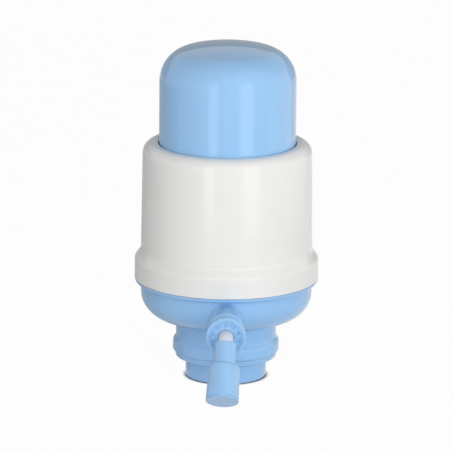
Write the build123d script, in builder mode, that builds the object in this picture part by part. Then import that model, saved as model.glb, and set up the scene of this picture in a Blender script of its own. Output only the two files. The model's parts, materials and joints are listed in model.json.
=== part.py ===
from build123d import *

import os
from math import cos, radians, sin, tan

# Hand pump for a water jug. Millimetres, +Z up, the spout points along -Y.
# The origin is the centre of the adapter's mouth, where the bottle's neck goes in,
# so the pump's axis is the Z axis and it stands on Z = 0.

# ---------------------------------------------------------------- driving dimensions
# Neck adapter: takes a 38 mm bottle finish, screws into the pump's 48 mm neck
SKIRT_R = 22.15
SKIRT_TOP = 11.4
SKIRT_ROUND = 1.0
BOTTLE_LEAD_R = 19.35
BOTTLE_LEAD_LENGTH = 3.0
BOTTLE_BORE_R = 19.0
BOTTLE_SEAT_Z = 12.4
WATER_WAY_R = 15.0
FLANGE_R = 27.4
FLANGE_TOP_R = 28.3
FLANGE_TOP = 14.6
FLANGE_ROUND = 0.5
FLANGE_TOP_ROUND = 0.35
ADAPTER_THREAD_R = 22.6
ADAPTER_TUBE_R = 20.6
ADAPTER_TOP = 24.9
BOTTLE_THREAD_PITCH = 4.23
BOTTLE_THREAD_WIDTH = 1.8
BOTTLE_THREAD_START = 4.6
SEAT_THICKNESS = 2.6
NECK_THREAD_PITCH = 4.0
NECK_THREAD_WIDTH = 1.7
NECK_THREAD_DEPTH = 1.0

# Base bowl
COLLAR_R = 29.1
COLLAR_BOTTOM = 14.72
COLLAR_TOP = 19.5
COLLAR_NECK_Z = 23.6
NECK_R = 27.5
COLLAR_ROUND = 0.8
NECK_ROUND = 1.2
NECK_BORE_R = 24.1
NECK_LEAD_R = 24.5
NECK_LEAD_TOP = 17.0
FLOOR_BOTTOM = 26.8
FLOOR_TOP = 30.2
BOWL_R = 46.8
BOWL_WALL = 2.4
BOWL_WIDEST_Z = 47.6
BOWL_ELLIPSE_R = 17.5
BOWL_ELLIPSE_H = 15.0
LIP_R = 50.2
LIP_BOTTOM = 52.9
LIP_TOP = 55.5
LIP_ROUND = 2.5
LEDGE_Z = 53.2
LEDGE_R = 42.4
BOWL_TOP = 64.7
AIR_HOLE_R = 2.0
AIR_HOLE_PITCH_R = 11.5
AIR_HOLE_COUNT = 4

# Body cover
RIM_R = 50.3
RIM_BOTTOM = 55.6
RIM_BOTTOM_ROUND = 0.4
RIM_TOP_ROUND = 3.2
RIM_TOP = 65.9
RIM_BORE_R = 47.05
COVER_FOOT_R = 46.95
COVER_FOOT_Z = 71.8
COVER_FOOT_ROUND = 2.4
COVER_SHOULDER_R = 46.2
COVER_TOP = 131.1
COVER_SHOULDER_ROUND = 5.8
COVER_WALL = 2.4
CAP_HOLE_R = 37.75
CAP_HOLE_ROUND = 0.7
SNAP_COUNT = 4
SNAP_ARC = 16.0
SNAP_Z = 60.0
SNAP_HEIGHT = 2.6
SNAP_DEPTH = 1.0
SNAP_RAMP = 1.0
SNAP_SINK = 0.5
SNAP_START_ANGLE = 45.0

# Push cap
CAP_R = 37.3
CAP_WALL = 2.4
CAP_SKIRT_BOTTOM = 116.0
CAP_SHOULDER_Z = 165.6
CAP_SHOULDER_ROUND = 18.2
CAP_CROWN_ANGLE = 14.0
CAP_STOP_R = 41.0
CAP_STOP_TOP = 128.4
CAP_STOP_THICKNESS = 2.0

# Air pump inside the cap
DECK_R = 44.2
DECK_BOTTOM = 54.0
DECK_TOP = 57.0
PLATE_BOTTOM = 157.2
PLATE_THICKNESS = 2.5
PLATE_R = 34.75
BELLOWS_CREST_R = 33.6
BELLOWS_ROOT_R = 26.6
BELLOWS_SKIN = 1.2
BELLOWS_FOLDS = 9
BELLOWS_FLANGE_R = 37.0
BELLOWS_FLANGE = 2.0
CLAMP_R = 42.0
CLAMP_BORE_R = 29.2
CLAMP_TOP = 61.6
SCREW_COUNT = 6
SCREW_PITCH_R = 39.6
SCREW_SHANK_R = 1.25
SCREW_CLEARANCE_R = 1.7
SCREW_HEAD_R = 2.3
SCREW_HEAD = 1.9
SCREW_HEAD_ROUND = 0.6
SCREW_LENGTH = 16.0
SPRING_R = 11.2
SPRING_WIRE_R = 0.8
SPRING_TURNS = 11
VALVE_HEAD_R = 9.0
VALVE_HEAD = 1.2
VALVE_STEM_R = 1.45
VALVE_STEM_HOLE_R = 1.55
VALVE_PORT_R = 1.7
VALVE_PORT_PITCH_R = 5.4
VALVE_PORT_COUNT = 6
VALVE_LIFT = 1.2

# Water way
SPIGOT_R = 5.0
SPIGOT_BORE_R = 2.9
SPIGOT_BOTTOM = 4.5
SPIGOT_SHOULDER_Z = 20.5
SPIGOT_BODY_R = 6.0
SPIGOT_NIPPLE_R = 4.0
HOSE_WALL = 1.6
HOSE_BEND_R = 5.9
PORT_Z = 42.0
BOSS_R = 10.0
BOSS_ROUND = 1.2
BOSS_FRONT = 66.0
BOSS_STUB_R = 7.1
BOSS_STUB_FRONT = 70.8
BOSS_BACK = 38.0
BOSS_HEEL = 26.0
BOSS_WALL_FRONT = 46.0
BOSS_NIPPLE_BACK = 31.0
BOSS_SOCKET_BACK = 60.0
SWIVEL_R = 5.0
SWIVEL_SOCKET_R = 5.06
PORT_THREAD_PITCH = 2.0
PORT_THREAD_WIDTH = 1.1
PORT_THREAD_DEPTH = 0.6
PORT_THREAD_TURNS = 1.5

# Spout nut: a bell with a dished front and a ring of pockets round the elbow
NUT_BACK = 66.5
NUT_BACK_R = 8.95
NUT_BORE_R = 7.95
NUT_FRONT = 78.2
NUT_FRONT_R = 10.8
NUT_BELL_LIP = 2.4
NUT_EDGE_ROUND = 1.0
NUT_DISH_R = 9.4
NUT_FACE_R = 7.6
NUT_FACE_FRONT = 77.45
NUT_WEB_BACK = 73.1
NUT_NECK_HOLE_R = 4.08
NUT_NECK_CHAMFER = 0.4
NUT_POCKET_COUNT = 10
NUT_POCKET_PITCH_R = 6.9
NUT_POCKET_LENGTH = 2.1
NUT_POCKET_WIDTH = 2.0
NUT_POCKET_DEPTH = 0.8
NUT_POCKET_START = 20.4

# Spout: elbow, sleeve and dust cap on one axis that leans down and a little to the side
ELBOW_R = 4.0
ELBOW_BORE_R = 2.6
ELBOW_FLANGE_R = 7.0
O_RING_BACK = 62.4
O_RING_GROOVE = 2.2
O_RING_GROOVE_R = 3.6
O_RING_SECTION_R = 0.72
BEND_FRONT = 81.0
BEND_RADIUS = 4.6
SPOUT_DOWN_ANGLE = 55.0
SPOUT_LEAN = 3.5
ELBOW_END = 15.0
TUBE_START = 2.6
TUBE_END = 24.6
TUBE_R = 5.75
TUBE_END_ROUND = 0.7
TUBE_BORE_R = 3.1
DUST_CAP_START = 15.0
DUST_CAP_END = 35.5
DUST_CAP_TOP_R = 8.2
DUST_CAP_TOP_ROUND = 1.9
DUST_CAP_END_R = 8.95
DUST_CAP_END_ROUND = 0.7
DUST_CAP_RIM = 34.1
DUST_CAP_FLOOR = 2.0
DUST_CAP_TAB_WIDTH = 3.2
DUST_CAP_TAB_LENGTH = 2.4
DUST_CAP_TAB_PROUD = 0.9
DUST_CAP_TAB_SETBACK = 0.3
DUST_CAP_BORE_R = 5.83
DUST_CAP_RIM_R = 8.93
DUST_CAP_GROOVE_R = 8.6
DUST_CAP_GROOVE = 0.5

FIT = 0.05

os.makedirs("parts", exist_ok=True)


# ---------------------------------------------------------------- shared helpers
def axial_plane(origin, direction, side):
    """A sketch plane whose X is the radius and whose Y runs along a turned piece's axis."""
    return Plane(origin=origin, x_dir=side, z_dir=Vector(*side).cross(Vector(*direction)))


def thread_ridge(root_r, depth, width, pitch, turns, start_z):
    """A helical ridge that stands out of a cylinder; a negative depth stands inwards."""
    sink = 0.25 if depth > 0 else -0.25
    path = Helix(pitch=pitch, height=pitch * turns, radius=root_r, center=(0, 0, start_z))
    with BuildPart() as ridge:
        with BuildSketch(Plane(origin=path @ 0, x_dir=(1, 0, 0), z_dir=path % 0)):
            Polygon(
                (-sink, -width / 2),
                (depth, -width / 4),
                (depth, width / 4),
                (-sink, width / 2),
                align=None,
            )
        sweep(path=path, is_frenet=True)
    return ridge.part


def save(builder, name):
    """Labels a finished piece and writes its STEP file."""
    builder.part.label = name
    export_step(builder.part, f"parts/{name}.step")


def circles(builder, radius):
    """The circular edges of a piece that have the given radius."""
    return builder.edges().filter_by(GeomType.CIRCLE).filter_by(lambda e: abs(e.radius - radius) < 0.01)


def port_plane(front):
    """A sketch plane across the spout's port, the given distance in front of the pump's axis."""
    return Plane(origin=(0, -front, PORT_Z), x_dir=(1, 0, 0), z_dir=PORT_DIRECTION)


PORT_DIRECTION = (0, -1, 0)
PORT_AXIS = Axis((0, 0, PORT_Z), PORT_DIRECTION)
PORT_PLANE = axial_plane((0, 0, PORT_Z), PORT_DIRECTION, (1, 0, 0))

down = radians(SPOUT_DOWN_ANGLE)
lean = radians(SPOUT_LEAN)
BEND_CENTRE = Vector(0, -BEND_FRONT, PORT_Z)
SPOUT_DIRECTION = Vector(-sin(down) * sin(lean), -cos(down), -sin(down) * cos(lean))
SPOUT_SIDE = Vector(cos(lean), 0, -sin(lean))
SPOUT_AXIS = Axis(tuple(BEND_CENTRE), tuple(SPOUT_DIRECTION))
SPOUT_PLANE = axial_plane(tuple(BEND_CENTRE), tuple(SPOUT_DIRECTION), tuple(SPOUT_SIDE))


# ---------------------------------------------------------------- neck adapter
ADAPTER_THREAD_START = 17.0
THREAD_TURNS = 1.25
BOTTLE_GASKET = 1.75
GASKET_CLEARANCE = 0.2

bottle_thread = thread_ridge(
    root_r=BOTTLE_BORE_R,
    depth=-NECK_THREAD_DEPTH,
    width=BOTTLE_THREAD_WIDTH,
    pitch=BOTTLE_THREAD_PITCH,
    turns=THREAD_TURNS,
    start_z=BOTTLE_THREAD_START,
)
adapter_thread = thread_ridge(
    root_r=ADAPTER_THREAD_R,
    depth=NECK_THREAD_DEPTH,
    width=NECK_THREAD_WIDTH,
    pitch=NECK_THREAD_PITCH,
    turns=THREAD_TURNS,
    start_z=ADAPTER_THREAD_START,
)

with BuildPart() as neck_adapter:
    with BuildSketch(Plane.XZ):
        Polygon(
            (BOTTLE_LEAD_R, 0),
            (SKIRT_R, 0),
            (SKIRT_R, SKIRT_TOP),
            (FLANGE_R, SKIRT_TOP),
            (FLANGE_TOP_R, FLANGE_TOP),
            (ADAPTER_THREAD_R, FLANGE_TOP),
            (ADAPTER_THREAD_R, ADAPTER_TOP),
            (ADAPTER_TUBE_R, ADAPTER_TOP),
            (ADAPTER_TUBE_R, BOTTLE_SEAT_Z + SEAT_THICKNESS),
            (WATER_WAY_R, BOTTLE_SEAT_Z + SEAT_THICKNESS),
            (WATER_WAY_R, BOTTLE_SEAT_Z),
            (BOTTLE_BORE_R, BOTTLE_SEAT_Z),
            (BOTTLE_BORE_R, BOTTLE_LEAD_LENGTH),
            (BOTTLE_LEAD_R, BOTTLE_LEAD_LENGTH),
            align=None,
        )
    revolve(axis=Axis.Z)
    fillet(circles(neck_adapter, SKIRT_R).sort_by(Axis.Z)[0], radius=SKIRT_ROUND)
    fillet(circles(neck_adapter, FLANGE_R), radius=FLANGE_ROUND)
    fillet(circles(neck_adapter, FLANGE_TOP_R), radius=FLANGE_TOP_ROUND)
    add(bottle_thread)
    add(adapter_thread)
save(neck_adapter, "neck_adapter")

with BuildPart() as bottle_gasket:
    with BuildSketch(Plane.XY.offset(BOTTLE_SEAT_Z - FIT - BOTTLE_GASKET)):
        Circle(BOTTLE_BORE_R - GASKET_CLEARANCE)
        Circle(WATER_WAY_R + GASKET_CLEARANCE, mode=Mode.SUBTRACT)
    extrude(amount=BOTTLE_GASKET)
save(bottle_gasket, "bottle_gasket")


# ---------------------------------------------------------------- base bowl
ELLIPSE_X = BOWL_R - BOWL_ELLIPSE_R
BOWL_INNER_R = BOWL_R - BOWL_WALL
INNER_ELLIPSE_R = BOWL_ELLIPSE_R - BOWL_WALL
INNER_ELLIPSE_H = BOWL_ELLIPSE_H - BOWL_WALL
BOWL_BOTTOM_Z = BOWL_WIDEST_Z - BOWL_ELLIPSE_H
CAVITY_BOTTOM_Z = BOWL_WIDEST_Z - INNER_ELLIPSE_H
COLLAR_MIDDLE = ((COLLAR_R + NECK_R) / 2, (COLLAR_TOP + COLLAR_NECK_Z) / 2)
LEDGE_THICKNESS = 1.6
SCREW_POST_R = 2.9
SCREW_POST_BOTTOM = 40.0
SCREW_PILOT_R = 1.3

NECK_THREAD_START = 19.0
NECK_THREAD_TURNS = 1.1
STUB_THREAD_START = BOSS_FRONT + 0.8
SCREW_PILOT_FLOOR = 2.0
FLOOR_CONE = 3.0

neck_thread = thread_ridge(
    root_r=NECK_BORE_R,
    depth=-NECK_THREAD_DEPTH,
    width=NECK_THREAD_WIDTH,
    pitch=NECK_THREAD_PITCH,
    turns=NECK_THREAD_TURNS,
    start_z=NECK_THREAD_START,
)
stub_thread = thread_ridge(
    root_r=BOSS_STUB_R,
    depth=PORT_THREAD_DEPTH,
    width=PORT_THREAD_WIDTH,
    pitch=PORT_THREAD_PITCH,
    turns=PORT_THREAD_TURNS,
    start_z=0,
)
stub_thread = port_plane(STUB_THREAD_START).location * stub_thread

with BuildPart() as base_bowl:
    # Outside: bowl, lip under the body cover, neck and collar
    with BuildSketch(Plane.XZ):
        with BuildLine():
            EllipticalCenterArc(
                (ELLIPSE_X, BOWL_WIDEST_Z),
                BOWL_ELLIPSE_R,
                BOWL_ELLIPSE_H,
                start_angle=-90,
                arc_size=90,
            )
            Polyline(
                (BOWL_R, BOWL_WIDEST_Z),
                (BOWL_R, LIP_BOTTOM),
                (LIP_R, LIP_BOTTOM),
                (LIP_R, LIP_TOP),
                (BOWL_R, LIP_TOP),
                (BOWL_R, BOWL_TOP),
                (0, BOWL_TOP),
                (0, FLOOR_BOTTOM),
                (NECK_BORE_R, FLOOR_BOTTOM),
                (NECK_BORE_R, NECK_LEAD_TOP),
                (NECK_LEAD_R, NECK_LEAD_TOP),
                (NECK_LEAD_R, COLLAR_BOTTOM),
                (COLLAR_R, COLLAR_BOTTOM),
                (COLLAR_R, COLLAR_TOP),
            )
            swell = TangentArc((COLLAR_R, COLLAR_TOP), COLLAR_MIDDLE, tangent=(0, 1))
            hollow = TangentArc(swell @ 1, (NECK_R, COLLAR_NECK_Z), tangent=swell % 1)
            Polyline(hollow @ 1, (NECK_R, BOWL_BOTTOM_Z), (ELLIPSE_X, BOWL_BOTTOM_Z))
        make_face()
    revolve(axis=Axis.Z)
    fillet(circles(base_bowl, NECK_R).sort_by(Axis.Z)[-1], radius=NECK_ROUND)
    fillet(circles(base_bowl, COLLAR_R).sort_by(Axis.Z)[0], radius=COLLAR_ROUND)
    fillet(circles(base_bowl, LIP_R).sort_by(Axis.Z)[0], radius=LIP_ROUND)
    # Spout boss, from the neck to the front
    with BuildSketch(port_plane(BOSS_HEEL)):
        Circle(BOSS_R)
    extrude(amount=BOSS_FRONT - BOSS_HEEL)
    fillet(circles(base_bowl, BOSS_R).sort_by(Axis.Y)[0], radius=BOSS_ROUND)
    # Inside: a smooth hollow with a ledge for the valve deck
    with BuildSketch(Plane.XZ):
        with BuildLine():
            EllipticalCenterArc(
                (ELLIPSE_X, BOWL_WIDEST_Z),
                INNER_ELLIPSE_R,
                INNER_ELLIPSE_H,
                start_angle=-90,
                arc_size=90,
            )
            Polyline(
                (BOWL_INNER_R, BOWL_WIDEST_Z),
                (BOWL_INNER_R, LEDGE_Z - 2 * LEDGE_THICKNESS),
                (LEDGE_R, LEDGE_Z - LEDGE_THICKNESS),
                (LEDGE_R, LEDGE_Z),
                (BOWL_INNER_R, LEDGE_Z),
                (BOWL_INNER_R, BOWL_TOP),
                (0, BOWL_TOP),
                (0, FLOOR_TOP),
                (ELLIPSE_X - 2 * FLOOR_CONE, FLOOR_TOP),
                (ELLIPSE_X - FLOOR_CONE, CAVITY_BOTTOM_Z),
                (ELLIPSE_X, CAVITY_BOTTOM_Z),
            )
        make_face()
    revolve(axis=Axis.Z, mode=Mode.SUBTRACT)
    # Back of the boss with its hose nipple inside the bowl, and the threaded stub in front
    with BuildSketch(port_plane(BOSS_BACK)):
        Circle(BOSS_R)
    extrude(amount=BOSS_WALL_FRONT - BOSS_BACK)
    with BuildSketch(port_plane(BOSS_NIPPLE_BACK)):
        Circle(SPIGOT_NIPPLE_R)
    extrude(amount=BOSS_BACK - BOSS_NIPPLE_BACK)
    with BuildSketch(port_plane(BOSS_FRONT)):
        Circle(BOSS_STUB_R)
    extrude(amount=BOSS_STUB_FRONT - BOSS_FRONT)
    add(stub_thread)
    with BuildSketch(port_plane(BOSS_NIPPLE_BACK)):
        Circle(SPIGOT_BORE_R)
    extrude(amount=BOSS_STUB_FRONT - BOSS_NIPPLE_BACK, mode=Mode.SUBTRACT)
    with BuildSketch(port_plane(BOSS_SOCKET_BACK)):
        Circle(SWIVEL_SOCKET_R)
    extrude(amount=BOSS_STUB_FRONT - BOSS_SOCKET_BACK, mode=Mode.SUBTRACT)
    # Posts for the screws, cut to the inside of the bowl
    with BuildSketch(Plane.XY.offset(SCREW_POST_BOTTOM)):
        with PolarLocations(SCREW_PITCH_R, SCREW_COUNT):
            Circle(SCREW_POST_R)
    extrude(amount=DECK_BOTTOM - FIT - SCREW_POST_BOTTOM)
    with BuildSketch(Plane.XY.offset(SCREW_POST_BOTTOM + SCREW_PILOT_FLOOR)):
        with PolarLocations(SCREW_PITCH_R, SCREW_COUNT):
            Circle(SCREW_PILOT_R)
    extrude(amount=DECK_BOTTOM - SCREW_POST_BOTTOM - SCREW_PILOT_FLOOR, mode=Mode.SUBTRACT)
    # Floor: the spigot's hole and the air holes
    with BuildSketch(Plane.XY.offset(FLOOR_BOTTOM)):
        Circle(SPIGOT_BODY_R + FIT)
        with PolarLocations(AIR_HOLE_PITCH_R, AIR_HOLE_COUNT, start_angle=45):
            Circle(AIR_HOLE_R)
    extrude(amount=FLOOR_TOP - FLOOR_BOTTOM, mode=Mode.SUBTRACT)
    add(neck_thread)
    # Snap lugs that hold the body cover
    with BuildSketch(Plane.XZ):
        Polygon(
            (BOWL_R - SNAP_SINK, SNAP_Z - SNAP_HEIGHT / 2),
            (BOWL_R + SNAP_DEPTH, SNAP_Z - SNAP_HEIGHT / 2),
            (BOWL_R + SNAP_DEPTH, SNAP_Z),
            (BOWL_R - SNAP_SINK, SNAP_Z + SNAP_HEIGHT / 2 + SNAP_RAMP),
            align=None,
        )
    lug = revolve(axis=Axis.Z, revolution_arc=SNAP_ARC, mode=Mode.PRIVATE)
    for index in range(SNAP_COUNT):
        add(lug.rotate(Axis.Z, SNAP_START_ANGLE + index * 360 / SNAP_COUNT - SNAP_ARC / 2))
save(base_bowl, "base_bowl")

with BuildPart() as neck_gasket:
    with BuildSketch(Plane.XY.offset(ADAPTER_TOP + FIT)):
        Circle(NECK_BORE_R - GASKET_CLEARANCE)
        Circle(ADAPTER_TUBE_R - GASKET_CLEARANCE, mode=Mode.SUBTRACT)
    extrude(amount=FLOOR_BOTTOM - ADAPTER_TOP - FIT)
save(neck_gasket, "neck_gasket")


# ---------------------------------------------------------------- water way
WASHER = 0.8
SPIGOT_FLANGE_R = 8.5
SPIGOT_FLANGE = 1.4
SPIGOT_CHAMFER_R = 0.6
SPIGOT_CHAMFER = 1.0
SPIGOT_FLANGE_TOP = FLOOR_TOP + WASHER + SPIGOT_FLANGE
NIPPLE_TOP = PORT_Z - HOSE_BEND_R
HOSE_END_GAP = 1.6
PRESS_GAP = 0.02

with BuildPart() as spigot_washer:
    with BuildSketch(Plane.XY.offset(FLOOR_TOP)):
        Circle(SPIGOT_FLANGE_R)
        Circle(SPIGOT_BODY_R + FIT, mode=Mode.SUBTRACT)
    extrude(amount=WASHER)
save(spigot_washer, "spigot_washer")

with BuildPart() as dip_tube_spigot:
    with BuildSketch(Plane.XZ):
        Polygon(
            (SPIGOT_BORE_R, SPIGOT_BOTTOM),
            (SPIGOT_R - SPIGOT_CHAMFER_R, SPIGOT_BOTTOM),
            (SPIGOT_R, SPIGOT_BOTTOM + SPIGOT_CHAMFER),
            (SPIGOT_R, SPIGOT_SHOULDER_Z),
            (SPIGOT_BODY_R, SPIGOT_SHOULDER_Z),
            (SPIGOT_BODY_R, FLOOR_TOP + WASHER),
            (SPIGOT_FLANGE_R, FLOOR_TOP + WASHER),
            (SPIGOT_FLANGE_R, SPIGOT_FLANGE_TOP),
            (SPIGOT_NIPPLE_R, SPIGOT_FLANGE_TOP),
            (SPIGOT_NIPPLE_R, NIPPLE_TOP),
            (SPIGOT_BORE_R, NIPPLE_TOP),
            align=None,
        )
    revolve(axis=Axis.Z)
save(dip_tube_spigot, "dip_tube_spigot")

with BuildPart() as riser_hose:
    with BuildLine() as hose_path:
        rise = Line((0, 0, SPIGOT_FLANGE_TOP + FIT), (0, 0, NIPPLE_TOP))
        bend = TangentArc(rise @ 1, (0, -HOSE_BEND_R, PORT_Z), tangent=rise % 1)
        Line(bend @ 1, (0, HOSE_END_GAP - BOSS_BACK, PORT_Z))
    with BuildSketch(Plane.XY.offset(SPIGOT_FLANGE_TOP + FIT)):
        Circle(SPIGOT_NIPPLE_R + HOSE_WALL)
        Circle(SPIGOT_NIPPLE_R + PRESS_GAP, mode=Mode.SUBTRACT)
    sweep()
save(riser_hose, "riser_hose")


# ---------------------------------------------------------------- body cover
SNAP_POCKET = 0.15
POCKET_ARC = SNAP_ARC + 1.0
RIM_CORNER_Z = RIM_TOP + 1.0
COVER_CORNER_Z = COVER_FOOT_Z - 0.5
COVER_INNER_FOOT_R = COVER_FOOT_R - COVER_WALL
COVER_INNER_TOP_R = COVER_SHOULDER_R - COVER_WALL
COVER_CEILING_Z = COVER_TOP - COVER_WALL
COVER_STOP_Z = BOWL_TOP + 0.1


def circle_near(builder, radius, height):
    """The circular edge of a piece nearest to a radius and a height."""
    found = builder.edges().filter_by(GeomType.CIRCLE)
    return found.sort_by(lambda e: abs(e.radius - radius) + abs(e.arc_center.Z - height))[0]


with BuildPart() as body_cover:
    with BuildSketch(Plane.XZ):
        Polygon(
            (RIM_BORE_R, RIM_BOTTOM),
            (RIM_R, RIM_BOTTOM),
            (RIM_R, RIM_CORNER_Z),
            (COVER_FOOT_R, COVER_CORNER_Z),
            (COVER_SHOULDER_R, COVER_TOP),
            (CAP_HOLE_R, COVER_TOP),
            (CAP_HOLE_R, COVER_CEILING_Z),
            (COVER_INNER_TOP_R, COVER_CEILING_Z),
            (COVER_INNER_FOOT_R, COVER_STOP_Z),
            (RIM_BORE_R, COVER_STOP_Z),
            align=None,
        )
    revolve(axis=Axis.Z)
    fillet(circle_near(body_cover, COVER_SHOULDER_R, COVER_TOP), radius=COVER_SHOULDER_ROUND)
    inner_shoulder = circle_near(body_cover, COVER_INNER_TOP_R, COVER_CEILING_Z)
    fillet(inner_shoulder, radius=COVER_SHOULDER_ROUND - COVER_WALL)
    fillet(circle_near(body_cover, CAP_HOLE_R, COVER_TOP), radius=CAP_HOLE_ROUND)
    fillet(circle_near(body_cover, RIM_R, RIM_BOTTOM), radius=RIM_BOTTOM_ROUND)
    fillet(circle_near(body_cover, RIM_R, RIM_CORNER_Z), radius=RIM_TOP_ROUND)
    fillet(circle_near(body_cover, COVER_FOOT_R, COVER_CORNER_Z), radius=COVER_FOOT_ROUND)
    with BuildSketch(Plane.XZ):
        Polygon(
            (RIM_BORE_R - SNAP_SINK, SNAP_Z - SNAP_HEIGHT / 2 - SNAP_POCKET),
            (BOWL_R + SNAP_DEPTH + SNAP_POCKET, SNAP_Z - SNAP_HEIGHT / 2 - SNAP_POCKET),
            (BOWL_R + SNAP_DEPTH + SNAP_POCKET, SNAP_Z + SNAP_POCKET),
            (RIM_BORE_R - SNAP_SINK, SNAP_Z + SNAP_HEIGHT / 2 + SNAP_RAMP + SNAP_POCKET),
            align=None,
        )
    pocket = revolve(axis=Axis.Z, revolution_arc=POCKET_ARC, mode=Mode.PRIVATE)
    for index in range(SNAP_COUNT):
        turn = SNAP_START_ANGLE + index * 360 / SNAP_COUNT - POCKET_ARC / 2
        add(pocket.rotate(Axis.Z, turn), mode=Mode.SUBTRACT)
save(body_cover, "body_cover")


# ---------------------------------------------------------------- push cap
crown = radians(CAP_CROWN_ANGLE)
CAP_ROUND_X = CAP_R - CAP_SHOULDER_ROUND
CAP_CROWN_R = (CAP_ROUND_X + CAP_SHOULDER_ROUND * sin(crown)) / sin(crown)
CAP_CROWN_CENTRE_Z = CAP_SHOULDER_Z + (CAP_SHOULDER_ROUND - CAP_CROWN_R) * cos(crown)
CAP_RIB_COUNT = 6
CAP_RIB_WIDTH = 1.6
CAP_HUB_R = 14.0
CAP_HUB_WALL = 1.8
CAP_STOP_SINK = 0.5
PLATE_TOP = PLATE_BOTTOM + PLATE_THICKNESS
CAP_TOP = CAP_SHOULDER_Z + CAP_SHOULDER_ROUND


def dome_face(inset, bottom):
    """Half of the dome's section, drawn the given distance inside its outer skin."""
    with BuildSketch() as section:
        with BuildLine():
            CenterArc((CAP_ROUND_X, CAP_SHOULDER_Z), CAP_SHOULDER_ROUND - inset, 0, 90 - CAP_CROWN_ANGLE)
            top = CenterArc(
                (0, CAP_CROWN_CENTRE_Z), CAP_CROWN_R - inset, 90 - CAP_CROWN_ANGLE, CAP_CROWN_ANGLE
            )
            Polyline(top @ 1, (0, bottom), (CAP_R - inset, bottom), (CAP_R - inset, CAP_SHOULDER_Z))
        make_face()
    return section.sketch


dome_outer = dome_face(0, CAP_SKIRT_BOTTOM)
dome_cavity = dome_face(CAP_WALL, CAP_SKIRT_BOTTOM)
dome_rib = Plane.XZ.location * dome_face(CAP_WALL / 2, PLATE_TOP + FIT)
cap_rib = extrude(dome_rib, amount=CAP_RIB_WIDTH / 2, both=True)

with BuildPart() as push_cap:
    with BuildSketch(Plane.XZ):
        add(dome_outer)
    revolve(axis=Axis.Z)
    with BuildSketch(Plane.XZ):
        Polygon(
            (CAP_R - CAP_STOP_SINK, CAP_STOP_TOP - CAP_STOP_THICKNESS),
            (CAP_STOP_R, CAP_STOP_TOP - CAP_STOP_THICKNESS),
            (CAP_STOP_R, CAP_STOP_TOP),
            (CAP_R - CAP_STOP_SINK, CAP_STOP_TOP),
            align=None,
        )
    revolve(axis=Axis.Z)
    with BuildSketch(Plane.XZ):
        add(dome_cavity)
    revolve(axis=Axis.Z, mode=Mode.SUBTRACT)
    # Hub and ribs above the top plate, let into the dome by half its wall
    for index in range(CAP_RIB_COUNT):
        add(cap_rib.rotate(Axis.Z, index * 360 / CAP_RIB_COUNT))
    with BuildSketch(Plane.XY.offset(PLATE_TOP + FIT)):
        Circle(CAP_HUB_R)
    extrude(amount=CAP_TOP - CAP_WALL - PLATE_TOP)
    with BuildSketch(Plane.XY.offset(PLATE_TOP + FIT)):
        Circle(CAP_HUB_R - CAP_HUB_WALL)
    extrude(amount=CAP_TOP - 2 * CAP_WALL - PLATE_TOP, mode=Mode.SUBTRACT)
save(push_cap, "push_cap")


# ---------------------------------------------------------------- air pump under the cap
SPRING_SEAT_R = SPRING_R + SPRING_WIRE_R + 0.4
SPRING_SEAT_WALL = 1.4
SPRING_SEAT_HEIGHT = 2.5
VALVE_BULB_R = 2.2
VALVE_BULB = 1.4
PLATE_RING_R = PLATE_R - 1.6
PLATE_RING_INNER_R = PLATE_R - 3.2
BELLOWS_HEAD_R = PLATE_R - 3.6


def valve_ports():
    """Sketch of a valve seat: the stem's hole and the ring of air ports round it."""
    with BuildSketch() as ports:
        Circle(VALVE_STEM_HOLE_R)
        with PolarLocations(VALVE_PORT_PITCH_R, VALVE_PORT_COUNT):
            Circle(VALVE_PORT_R)
    return ports.sketch


def spring_seat():
    """Ring that centres the return spring's end."""
    with BuildSketch() as seat:
        Circle(SPRING_SEAT_R + SPRING_SEAT_WALL)
        Circle(SPRING_SEAT_R, mode=Mode.SUBTRACT)
    return seat.sketch


def umbrella_valve(seat_z, plate):
    """A rubber head under a plate, its stem through the plate and a bulb that stops it."""
    bulb_z = seat_z + plate + VALVE_LIFT + FIT
    with BuildPart() as valve:
        with BuildSketch(Plane.XZ):
            Polygon(
                (0, seat_z - VALVE_HEAD),
                (VALVE_HEAD_R * 0.6, seat_z - VALVE_HEAD),
                (VALVE_HEAD_R, seat_z - VALVE_HEAD * 0.4),
                (VALVE_HEAD_R, seat_z - PRESS_GAP),
                (VALVE_STEM_R, seat_z - PRESS_GAP),
                (VALVE_STEM_R, bulb_z),
                (VALVE_BULB_R, bulb_z),
                (VALVE_STEM_R, bulb_z + VALVE_BULB),
                (0, bulb_z + VALVE_BULB),
                align=None,
            )
        revolve(axis=Axis.Z)
    return valve


port_holes = valve_ports()
seat_ring = spring_seat()

with BuildPart() as bellows_top_plate:
    with BuildSketch(Plane.XY.offset(PLATE_BOTTOM)):
        Circle(PLATE_R)
        add(port_holes, mode=Mode.SUBTRACT)
    extrude(amount=PLATE_THICKNESS)
    with BuildSketch(Plane.XY.offset(PLATE_BOTTOM)):
        add(seat_ring)
        Circle(PLATE_RING_R)
        Circle(PLATE_RING_INNER_R, mode=Mode.SUBTRACT)
    extrude(amount=-SPRING_SEAT_HEIGHT)
save(bellows_top_plate, "bellows_top_plate")

intake_valve = umbrella_valve(PLATE_BOTTOM, PLATE_THICKNESS)
save(intake_valve, "intake_valve")

BELLOWS_NECK = 0.8
BELLOWS_FOOT_Z = CLAMP_TOP + BELLOWS_NECK
BELLOWS_HEAD_Z = PLATE_BOTTOM - BELLOWS_FLANGE - BELLOWS_NECK
FOLD_PITCH = (BELLOWS_HEAD_Z - BELLOWS_FOOT_Z) / BELLOWS_FOLDS


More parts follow.
